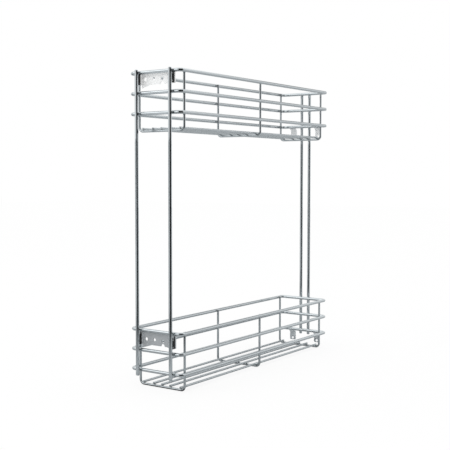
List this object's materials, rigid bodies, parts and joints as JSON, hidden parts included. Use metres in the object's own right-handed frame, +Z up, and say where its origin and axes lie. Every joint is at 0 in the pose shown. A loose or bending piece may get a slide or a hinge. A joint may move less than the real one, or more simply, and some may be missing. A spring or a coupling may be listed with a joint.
{
  "type": "pull out cabinet basket",
  "caption": "Tall narrow wire basket for a slim base cabinet: an upper and a lower wire tray welded between upright rods, with front brackets and rear tabs for its runner.",
  "frame": {"origin": "middle of the underside, on the plane that the lower tray's cross wires rest on", "axes": "+X across the width, -Y to the front with the folded brackets, +Z up along the rods"},
  "size_m": [0.11, 0.502, 0.5265],
  "materials": {
    "loop_wire": "bright chrome plate on drawn steel wire",
    "cross_wire": "bright chrome plate on drawn steel wire",
    "base_wire": "bright chrome plate on drawn steel wire",
    "rod": "bright chrome plate on drawn steel rod",
    "bracket": "bright chrome plate on punched and folded steel sheet",
    "rear_tab": "bright chrome plate on punched steel strip"
  },
  "bodies": {
    "root": {"upper_rim_wire": "loop_wire", "upper_middle_loop_wire": "loop_wire", "upper_lowest_loop_wire": "loop_wire", "upper_front_cross_wire": "cross_wire", "upper_middle_cross_wire": "cross_wire", "upper_rear_cross_wire": "cross_wire", "upper_base_wire_1": "base_wire", "upper_base_wire_2": "base_wire", "upper_base_wire_3": "base_wire", "upper_base_wire_4": "base_wire", "upper_base_wire_5": "base_wire", "upper_front_bracket": "bracket", "upper_left_rear_tab": "rear_tab", "upper_right_rear_tab": "rear_tab", "lower_rim_wire": "loop_wire", "lower_middle_loop_wire": "loop_wire", "lower_lowest_loop_wire": "loop_wire", "lower_front_cross_wire": "cross_wire", "lower_middle_cross_wire": "cross_wire", "lower_rear_cross_wire": "cross_wire", "lower_base_wire_1": "base_wire", "lower_base_wire_2": "base_wire", "lower_base_wire_3": "base_wire", "lower_base_wire_4": "base_wire", "lower_base_wire_5": "base_wire", "lower_front_bracket": "bracket", "lower_left_rear_tab": "rear_tab", "lower_right_rear_tab": "rear_tab", "left_front_rod": "rod", "right_front_rod": "rod", "left_rear_rod": "rod", "right_rear_rod": "rod"}
  },
  "joints": []
}
